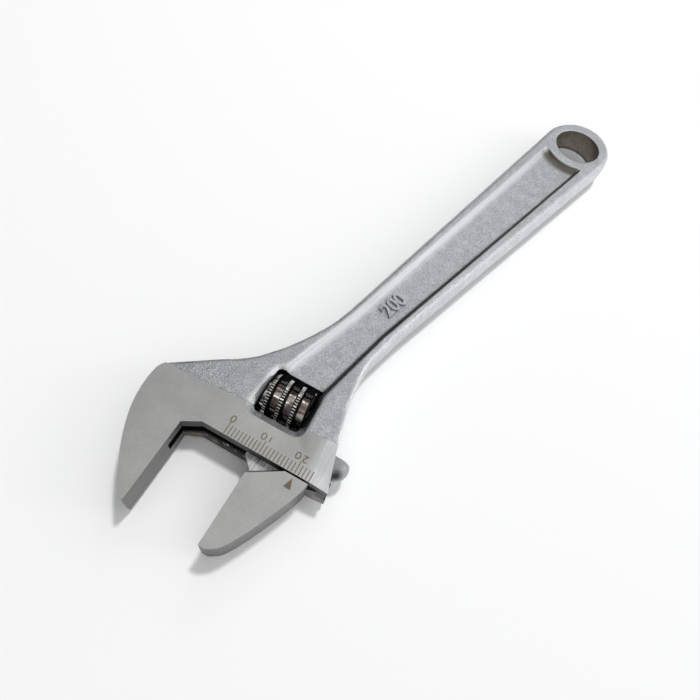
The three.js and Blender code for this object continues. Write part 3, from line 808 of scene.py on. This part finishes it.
# ---- pieces
class WRENCH_OT_body(bpy.types.Operator):
    """Forged body with ground faces and machined slot, bore and window"""
    bl_idname = "wrench.body"
    bl_label = "Forged Body"

    def execute(self, context):
        piece = self.forging()
        combine(piece, self.ground_side("forging_trim", 0), "DIFFERENCE")
        head = crisp_copy("body", "machined_head")
        self.lean_lower_flange(head)
        combine(head, self.ground_side("head_trim", 0.02 * MM), "INTERSECT")
        smooth(head, 14)
        smooth(piece, 60)
        combine(piece, head, "UNION")
        self.ease_left_corner(piece)
        self.keep_hollows_and_wall_light(piece)
        self.finish(piece)
        seat(piece, "frame", "forged_chrome", "body")
        return {"FINISHED"}

    def forging(self):
        """The whole body with soft edges and the slight unevenness of a forging."""
        sizes = settings()
        piece = copy_of_node("body", "forged_body")
        finish_modifier(piece, "REMESH", mode="VOXEL", voxel_size=sizes.forging_voxel,
                        use_smooth_shade=True)
        finish_modifier(piece, "SMOOTH", factor=0.5, iterations=4)
        grain = bpy.data.textures.new("forging_scale", "CLOUDS")
        grain.noise_scale = 1.1 * MM
        grain.noise_depth = 1
        finish_modifier(piece, "DISPLACE", texture=grain, texture_coords="LOCAL",
                        strength=sizes.forging_scale, mid_level=1.0)
        return piece

    def ground_side(self, name, extra):
        """A block over the head, as far as the end of the ground face."""
        sizes = settings()
        reach = 60 * MM
        block = box_between(name, (-reach, -reach, -reach), (reach, 0, reach))
        block.rotation_euler.z = sizes.ground_slant
        block.location = zero_point() + Vector((0, sizes.ground_edge + extra, 0))
        activate(block)
        bpy.ops.object.transform_apply()
        return block

    def lean_lower_flange(self, head):
        """Leans the lower half of the frame's front wall out toward its foot."""
        sizes = settings()
        zero = zero_point()
        wall_start = zero.x - 9 * MM
        foot = HALF_HEAD - sizes.slot_half
        for vertex in head.data.vertices:
            below = MIDDLE_Z - sizes.slot_half - vertex.co.z
            at_wall = abs(vertex.co.y - zero.y) < 0.2 * MM
            if at_wall and below > 0 and vertex.co.x > wall_start:
                vertex.co.y -= sizes.flange_lean * below / foot

    def ease_left_corner(self, piece):
        """Rounds the corner at the foot of the panel's -X wall, clear of the worm window."""
        points = point_arrays(piece.data)[0]
        on_handle = points[:, 1] > WORM_AXIS.y + 7.5 * MM
        place = on_handle * ~right_of_centre(points)
        weights = numpy.clip(hollowness(piece) / 0.3, 0, 1) * place
        corner = piece.vertex_groups.new(name="corner")
        for index in numpy.flatnonzero(weights > 0.1):
            corner.add([int(index)], float(weights[index]), "REPLACE")
        finish_modifier(piece, "SMOOTH", factor=0.5, iterations=60, vertex_group="corner")

    def keep_hollows_and_wall_light(self, piece):
        """Keeps on each point of the forging how hollow it lies, for painted shade in hollows and
        painted highlight on ridges, and which way it leans, for painted shade and highlight on its
        walls.
        """
        points = point_arrays(piece.data)[0]
        edge_at = ground_edge_line()
        forged = (points[:, 1] > edge_at(points[:, 0]) + 0.3 * MM).astype(float)
        keep(piece, "hollow", hollowness(piece) * forged)
        right = right_of_centre(points)
        keep(piece, "painted_wall_light", forged * (painted_shade_walls(piece) * right - painted_highlight_walls(piece) * ~right))

    def finish(self, piece):
        sizes = settings()
        zero = zero_point()
        hole = hole_point()
        edge_at = ground_edge_line()
        jaw_face = zero.x - sizes.fixed_face
        throat_start = zero.y - 9 * MM
        slot_end = zero.x + 25.2 * MM
        window = Vector((6.9, 7.2, 3.4)) * MM
        channel_start, channel_end = zero.y + 3.6 * MM, zero.y + 12 * MM
        channel_height = 3.75 * MM

        def in_head(face):
            return face.center.y < edge_at(face.center.x) + 0.01 * MM

        def is_jaw_wall(face):
            return (in_head(face) and face.normal.x > 0.9
                    and abs(face.center.x - jaw_face) < 0.3 * MM
                    and face.center.y < zero.y - 2 * MM)

        def is_throat(face):
            return (in_head(face) and abs(face.normal.z) < 0.5
                    and jaw_face - 1 * MM < face.center.x < BODY_HIGH.x
                    and throat_start < face.center.y < zero.y + 1 * MM
                    and (face.normal.y < -0.3 or face.center.x < slot_end)
                    and not is_jaw_wall(face))

        def is_in_window(face):
            away = face.center - WORM_AXIS
            return (abs(away.x) < window.x and abs(away.y) < window.y
                    and height(face) < window.z and abs(face.normal.z) < 0.8)

        def is_in_slot(face):
            return (in_head(face) and height(face) < sizes.slot_half + 0.3 * MM
                    and throat_start < face.center.y
                    and face.center.x > jaw_face - 4.5 * MM
                    and not (face.normal.y < -0.7 and height(face) > sizes.slot_half))

        def is_in_channel(face):
            return (in_head(face) and height(face) < channel_height
                    and channel_start < face.center.y < channel_end
                    and face.center.x < BODY_HIGH.x and abs(face.normal.x) < 0.6
                    and face.center.x < zero.x + 26 * MM)

        def is_bore(face):
            return ((face.center - hole).to_2d().length < sizes.hole_radius + 0.2 * MM
                    and abs(face.normal.z) < 0.75)

        def is_tip(face):
            return face.center.y < zero.y - 20 * MM and abs(face.normal.z) < 0.7

        piece.data.materials.append(chrome_material())
        finish_faces(piece, polished_material(), lambda face: (
            in_head(face) and face.normal.z > 0.9 and face.center.x > zero.x + 22 * MM))
        finish_faces(piece, ground_material(), lambda face: in_head(face) and is_ground(face))
        finish_faces(piece, machined_material(), lambda face: is_jaw_wall(face) or is_tip(face))
        # Throat: machined steel at half its colour, as painted shade.
        finish_faces(piece, shaded_steel_material(), is_throat)
        # Window, slot and channel walls: steel under oil, near black as painted shade.
        finish_faces(piece, oiled_and_shaded_material(), lambda face: (
            is_in_window(face) or is_in_slot(face) or is_in_channel(face)))
        finish_faces(piece, bore_material(), is_bore)


class WRENCH_OT_jaw(bpy.types.Operator):
    """Movable jaw with its neck and toothed rack"""
    bl_idname = "wrench.jaw"
    bl_label = "Movable Jaw"

    def execute(self, context):
        piece = crisp_copy("movable_jaw", "sliding_jaw")
        combine(piece, self.neck_gusset(), "UNION")
        low, high = from_zero(23.7, -0.08, -1.59), from_zero(28.3, 3.4, 1.59)
        combine(piece, box_between("slot_key", low, high), "UNION")
        combine(piece, self.rack_hollow(), "DIFFERENCE")
        split(piece, zero_point(), (0, 1, 0))
        split(piece, from_zero(26), (1, 0, 0))
        smooth(piece, 14)
        self.finish(piece)
        seat(piece, "jaw", "jaw_chrome", "movable_jaw")
        return {"FINISHED"}

    def neck_gusset(self):
        """Slanted web between the neck and the jaw's face."""
        half = 1.45 * MM
        corners = [(6.4, 0.2), (6.4, -0.7), (9.4, -3.6), (9.6, -3.6), (9.6, 0.2)]
        outline = [from_zero(x, y) - Vector((0, 0, half)) for x, y in corners]
        return prism("neck_gusset", outline, 2 * half)

    def hollow_centre(self):
        return from_zero(28.5, 5.0, 4.4)

    def rack_hollow(self):
        """Ball that leaves the dished end of the rack's last groove."""
        activate_none()
        bpy.ops.mesh.primitive_uv_sphere_add(
            segments=32, ring_count=16, radius=2.2 * MM, location=self.hollow_centre())
        bpy.ops.object.transform_apply()
        return bpy.context.object

    def finish(self, piece):
        zero = zero_point()
        neck_half = 1.6 * MM
        rack_end = zero.x + 26 * MM

        def is_neck(face):
            return (height(face) < neck_half and abs(face.normal.z) > 0.7
                    and face.center.y > zero.y - 6.3 * MM
                    and face.center.x < zero.x + 23.3 * MM)

        def is_key(face):
            return (height(face) < neck_half and face.center.x > zero.x + 23 * MM
                    and -0.5 * MM < face.center.y - zero.y < 4 * MM)

        def is_rack(face):
            return face.center.y > zero.y and face.center.x < rack_end

        def is_land(face):
            return is_rack(face) and face.normal.y > 0.7 and face.center.y > zero.y + 9.5 * MM

        piece.data.materials.append(chrome_material())
        finish_faces(piece, ground_material(), is_ground)
        finish_faces(piece, machined_material(), lambda face: (
            abs(face.normal.z) < 0.6 or face.center.y > zero.y))
        finish_faces(piece, shaded_steel_material(), is_key)
        finish_faces(piece, bright_cut_material(), is_neck)
        # Rack grooves: steel under oil, near black as painted shade.
        finish_faces(piece, oiled_and_shaded_material(), lambda face: is_rack(face) and not is_land(face))
        finish_faces(piece, machined_material(), is_land)
        finish_faces(piece, rack_end_material(self.hollow_centre()), lambda face: (
            face.center.x > rack_end and face.center.y > zero.y + 3.5 * MM))


class WRENCH_OT_worm(bpy.types.Operator):
    """Worm with a knurled helical thread"""
    bl_idname = "wrench.worm"
    bl_label = "Worm"

    def execute(self, context):
        sizes = settings()
        radius = (WORM_HIGH.y - WORM_LOW.y) / 2
        piece = self.cylinder("knurled_worm", radius - sizes.thread_depth, WORM_LOW.x, WORM_HIGH.x)
        combine(piece, self.thread(sizes, radius), "UNION")
        combine(piece, self.envelope(radius), "INTERSECT")
        combine(piece, self.bore(), "DIFFERENCE")
        smooth(piece, 35)
        self.keep_crest(piece, radius)
        piece.data.materials.append(worm_material())
        # Thread flanks: steel under oil, near black as painted shade.
        finish_faces(piece, oiled_and_shaded_material(), lambda face: abs(face.normal.x) > 0.6)
        seat(piece, "worm", "dark_worm", "worm")
        return {"FINISHED"}

    def cylinder(self, name, radius, start, end, vertices=96):
        """A cylinder on the worm's axis."""
        activate_none()
        bpy.ops.mesh.primitive_cylinder_add(
            vertices=vertices, radius=radius, depth=end - start,
            location=((start + end) / 2, WORM_AXIS.y, WORM_AXIS.z),
            rotation=(0, math.pi / 2, 0))
        piece = bpy.context.object
        piece.name = name
        bpy.ops.object.transform_apply()
        return piece

    def thread(self, sizes, radius):
        """One trapezoid profile screwed round the axis, then notched across its crest."""
        steps = sizes.knurl_count * 5
        root = radius - sizes.thread_depth - 0.3 * MM
        half = sizes.thread_crest / 2
        root_half = half + (radius - root) * math.tan(math.radians(15))
        start = WORM_LOW.x + sizes.thread_phase - 2 * sizes.thread_pitch
        profile = [(-root_half, root), (-half, radius), (half, radius), (root_half, root)]
        thread = flat_face("thread", [
            (start + x, WORM_AXIS.y + reach, WORM_AXIS.z) for x, reach in profile])
        centre = new_object("screw_centre", None)
        centre.location = (0, WORM_AXIS.y, WORM_AXIS.z)
        bpy.context.view_layer.update()
        finish_modifier(
            thread, "SCREW", axis="X", object=centre, angle=2 * math.pi,
            screw_offset=sizes.thread_pitch, steps=steps, render_steps=steps,
            iterations=6, use_normal_calculate=True)
        bpy.data.objects.remove(centre, do_unlink=True)
        in_edit_mode(
            thread, merge_points, lambda: bpy.ops.mesh.fill_holes(sides=8), face_outwards)
        self.knurl(thread, sizes, radius)
        return thread

    def knurl(self, thread, sizes, radius):
        """Sinks two of every five steps of the crest toward the axis."""
        clear_selection(thread, "VERT")
        notch = 2 * math.pi / sizes.knurl_count
        for vertex in thread.data.vertices:
            y = vertex.co.y - WORM_AXIS.y
            z = vertex.co.z - WORM_AXIS.z
            turn = (math.atan2(z, y) + notch / 10) % notch
            crest = math.hypot(y, z) > radius - 0.05 * MM
            vertex.select = crest and turn > notch * 0.6
        set_mode("EDIT")
        shrink = 1 - sizes.knurl_depth / radius
        bpy.ops.transform.resize(
            value=(1, shrink, shrink), center_override=(0, WORM_AXIS.y, WORM_AXIS.z))
        set_mode("OBJECT")

    def keep_crest(self, piece, radius):
        """Keeps 1 on the rubbed top of the thread, -1 in its notches and 0 at its root."""
        points = point_arrays(piece.data)[0]
        reach = numpy.hypot(points[:, 1] - WORM_AXIS.y, points[:, 2] - WORM_AXIS.z)
        crest = numpy.where(reach > radius - 0.1 * MM, 1.0, -1.0)
        crest[reach < radius - 0.6 * MM] = 0.0
        keep(piece, "crest", crest)

    def envelope(self, radius):
        """The rounded cylinder that the thread doesn't leave."""
        piece = self.cylinder("worm_envelope", radius + 0.05 * MM, WORM_LOW.x, WORM_HIGH.x)
        bevel(piece, 1.2 * MM, 3, 60)
        return piece

    def bore(self):
        """Bore for the pin with the wider pocket of the spring."""
        pin_radius = (PIN_HIGH.y - PIN_LOW.y) / 2
        spring_radius = (SPRING_HIGH.y - SPRING_LOW.y) / 2
        past = 2 * MM
        piece = self.cylinder(
            "pin_bore", pin_radius + 0.2 * MM, WORM_LOW.x - past, WORM_HIGH.x + past, 64)
        pocket = self.cylinder(
            "spring_pocket", spring_radius + 0.35 * MM, SPRING_LOW.x - 0.2 * MM,
            WORM_HIGH.x + 2 * past, 64)
        combine(piece, pocket, "UNION")
        return piece


class WRENCH_OT_pin(bpy.types.Operator):
    """Screw pin and spring inside the worm"""
    bl_idname = "wrench.pin"
    bl_label = "Pin and Spring"

    def execute(self, context):
        pin = copy_of_node("worm_pin", "screw_pin")
        dissolve(pin, 1)
        bevel(pin, 0.12 * MM, 2, 40)
        smooth(pin, 35)
        pin.data.materials.append(machined_material())
        seat(pin, "frame", "pin_steel", "worm_pin")
        spring = copy_of_node("worm_spring", "coil_spring")
        smooth(spring, 60)
        spring.data.materials.append(shaded_steel_material())
        seat(spring, "frame", "spring_steel", "worm_spring")
        return {"FINISHED"}


class WRENCH_OT_marks(bpy.types.Operator):
    """Etched scale on the frame and pointer on the jaw"""
    bl_idname = "wrench.marks"
    bl_label = "Scale Marks"

    def execute(self, context):
        marks = context.scene.wrench_marks
        material = mark_material()
        parts = [self.tick(marks, number) for number in range(marks.tick_count + 1)]
        parts += [self.numeral(marks, digit, reading * MM) for digit, reading in DIGITS]
        scale = self.joined(parts, "scale_marks")
        scale.data.materials.append(material)
        seat(scale, "frame", "forged_chrome")
        pointer = self.pointer(marks)
        pointer.data.materials.append(material)
        seat(pointer, "jaw", "jaw_chrome")
        return {"FINISHED"}

    def tick(self, marks, number):
        """One line of the scale, longer at each ten."""
        reach = marks.long_tick if number % 10 == 0 else marks.tick_length
        middle = marks.tick_start + number * marks.tick_pitch
        low = zero_point() + Vector((middle - marks.line_width / 2, 0.15 * MM, HALF_HEAD))
        high = low + Vector((marks.line_width, reach, marks.line_rise))
        return box_between("tick", low, high)

    def numeral(self, marks, digit, reading):
        """One digit, which reads from the handle's side."""
        place = zero_point() + Vector((reading, marks.numeral_row, HALF_HEAD))
        size = marks.numeral_height * (0.85 if digit == "1" else 1)
        return text_mesh(digit, place, size, turn=math.pi, rise=marks.line_rise, width=1.2)

    def joined(self, parts, name):
        activate(parts[0])
        for part in parts:
            part.select_set(True)
        bpy.ops.object.join()
        piece = bpy.context.object
        piece.name = piece.data.name = name
        return piece

    def pointer(self, marks):
        """Slim triangle whose tip reads the scale."""
        tip = zero_point() + Vector((marks.pointer_reading, -1.05 * MM, HALF_HEAD))
        corners = [(0, 0), (-0.98, -2.8), (0.98, -2.8)]
        outline = [tip + Vector((x, y, 0)) * MM for x, y in corners]
        return prism("pointer_mark", outline, marks.line_rise)


class WRENCH_OT_size_number(bpy.types.Operator):
    """Raised size number in the panel of the handle"""
    bl_idname = "wrench.size_number"
    bl_label = "Size Number"

    def execute(self, context):
        piece = text_mesh(
            "200", from_zero(19.0, 57.5, 2.7), size=4.4 * MM, turn=math.radians(74.3),
            rise=0.7 * MM, width=0.88, swell=0.18 * MM)
        piece.name = "size_number"
        bevel(piece, 0.15 * MM, 2, 40)
        smooth(piece, 40)
        self.keep_painted_shade(piece)
        piece.data.materials.append(chrome_material())
        seat(piece, "frame", "forged_chrome")
        return {"FINISHED"}

    def keep_painted_shade(self, piece):
        """Keeps on each point how much painted shade its wall gets, most on the -X side."""
        steep = numpy.clip((0.9 - point_arrays(piece.data)[1][:, 2]) / 0.5, 0, 1)
        keep(piece, "painted_wall_light", numpy.maximum(painted_shade_walls(piece), 0.55 * steep))


# ---- stage
class WRENCH_OT_stage(bpy.types.Operator):
    """Pale floor, soft light and camera"""
    bl_idname = "wrench.stage"
    bl_label = "Stage"

    def execute(self, context):
        self.floor()
        self.world(context.scene)
        for lamp in LAMPS:
            self.lamp(*lamp)
        self.camera(context.scene)
        context.scene.view_settings.view_transform = "Standard"
        return {"FINISHED"}

    def floor(self):
        """Pale floor that fades into the backdrop well away from the wrench."""
        activate_none()
        lowest = CAD_BOX[0][2]
        bpy.ops.mesh.primitive_plane_add(size=4, location=(0, 0, lowest))
        floor = bpy.context.object
        floor.name = "floor"
        bpy.ops.object.transform_apply()
        material, tree, shader = new_material("White floor")
        shader.inputs["Base Color"].default_value = (0.92, 0.92, 0.92, 1)
        shader.inputs["Roughness"].default_value = 0.9
        shader.inputs["Specular IOR Level"].default_value = 0.0
        reach = vector_maths("LENGTH", "Value", object_place(tree))
        fade_start, fade_end = 0.25, 0.7
        feed(shader.inputs["Alpha"], remap(reach, fade_start, fade_end, 1, 0))
        floor.data.materials.append(material)

    def world(self, scene):
        """Bright toward +X and overhead, dim on the other side, white to the camera."""
        world = bpy.data.worlds.new("Studio")
        scene.world = world
        world.use_nodes = True
        tree = world.node_tree
        background = tree.nodes["Background"]
        background.inputs["Color"].default_value = (0.985, 0.993, 1.0, 1)
        bright_side = Vector((0.75, 0.1, 0.65)).normalized()
        way = tree.nodes.new("ShaderNodeTexCoord").outputs["Generated"]
        toward = vector_maths("DOT_PRODUCT", "Value", way, bright_side)
        strength = remap(toward, -0.02, 0.32, 0.08, 0.7)
        seen = tree.nodes.new("ShaderNodeLightPath").outputs["Is Camera Ray"]
        strength = maths("MAXIMUM", strength, seen)
        feed(background.inputs["Strength"], strength)

    def lamp(self, name, way, size, power):
        """Square soft box that faces the wrench; the key isn't mirrored in it."""
        data = bpy.data.lights.new(name, "AREA")
        data.size = size * MM
        data.energy = power
        lamp = new_object(name, data)
        lamp.location = Vector(way).normalized() * LAMP_DISTANCE
        lamp.rotation_euler = lamp.location.to_track_quat("Z", "Y").to_euler()
        lamp.visible_glossy = name != "key"

    def camera(self, scene):
        stage = scene.wrench_stage
        data = bpy.data.cameras.new("camera")
        data.lens = stage.camera_lens
        data.clip_start = 0.01
        camera = new_object("camera", data)
        camera.location = zero_point() + Vector(stage.camera_place)
        camera.rotation_euler = stage.camera_turn
        scene.camera = camera


SETTINGS = {
    "wrench_sizes": WrenchSizes,
    "wrench_marks": WrenchMarks,
    "wrench_colours": WrenchColours,
    "wrench_stage": WrenchStage,
}
OPERATORS = [
    WRENCH_OT_stage, WRENCH_OT_body, WRENCH_OT_jaw, WRENCH_OT_worm, WRENCH_OT_pin,
    WRENCH_OT_marks, WRENCH_OT_size_number,
]


class WRENCH_PT_panel(bpy.types.Panel):
    """Lists the pieces of the wrench"""
    bl_idname = "WRENCH_PT_panel"
    bl_label = "Adjustable Wrench"
    bl_space_type = "VIEW_3D"
    bl_region_type = "UI"
    bl_category = "Wrench"

    def draw(self, context):
        for operator in OPERATORS:
            self.layout.operator(operator.bl_idname)
        for group_name, group in SETTINGS.items():
            for name in group.__annotations__:
                self.layout.prop(getattr(context.scene, group_name), name)


CLASSES = [*SETTINGS.values(), *OPERATORS, WRENCH_PT_panel]


def register():
    for cls in CLASSES:
        bpy.utils.register_class(cls)
    for name, cls in SETTINGS.items():
        setattr(bpy.types.Scene, name, bpy.props.PointerProperty(type=cls))


def unregister():
    for name in SETTINGS:
        delattr(bpy.types.Scene, name)
    for cls in reversed(CLASSES):
        bpy.utils.unregister_class(cls)


def main():
    register()
    bpy.ops.wrench.stage()
    bpy.ops.wrench.body()
    bpy.ops.wrench.jaw()
    bpy.ops.wrench.worm()
    bpy.ops.wrench.pin()
    bpy.ops.wrench.marks()
    bpy.ops.wrench.size_number()


if __name__ == "__main__":
    main()
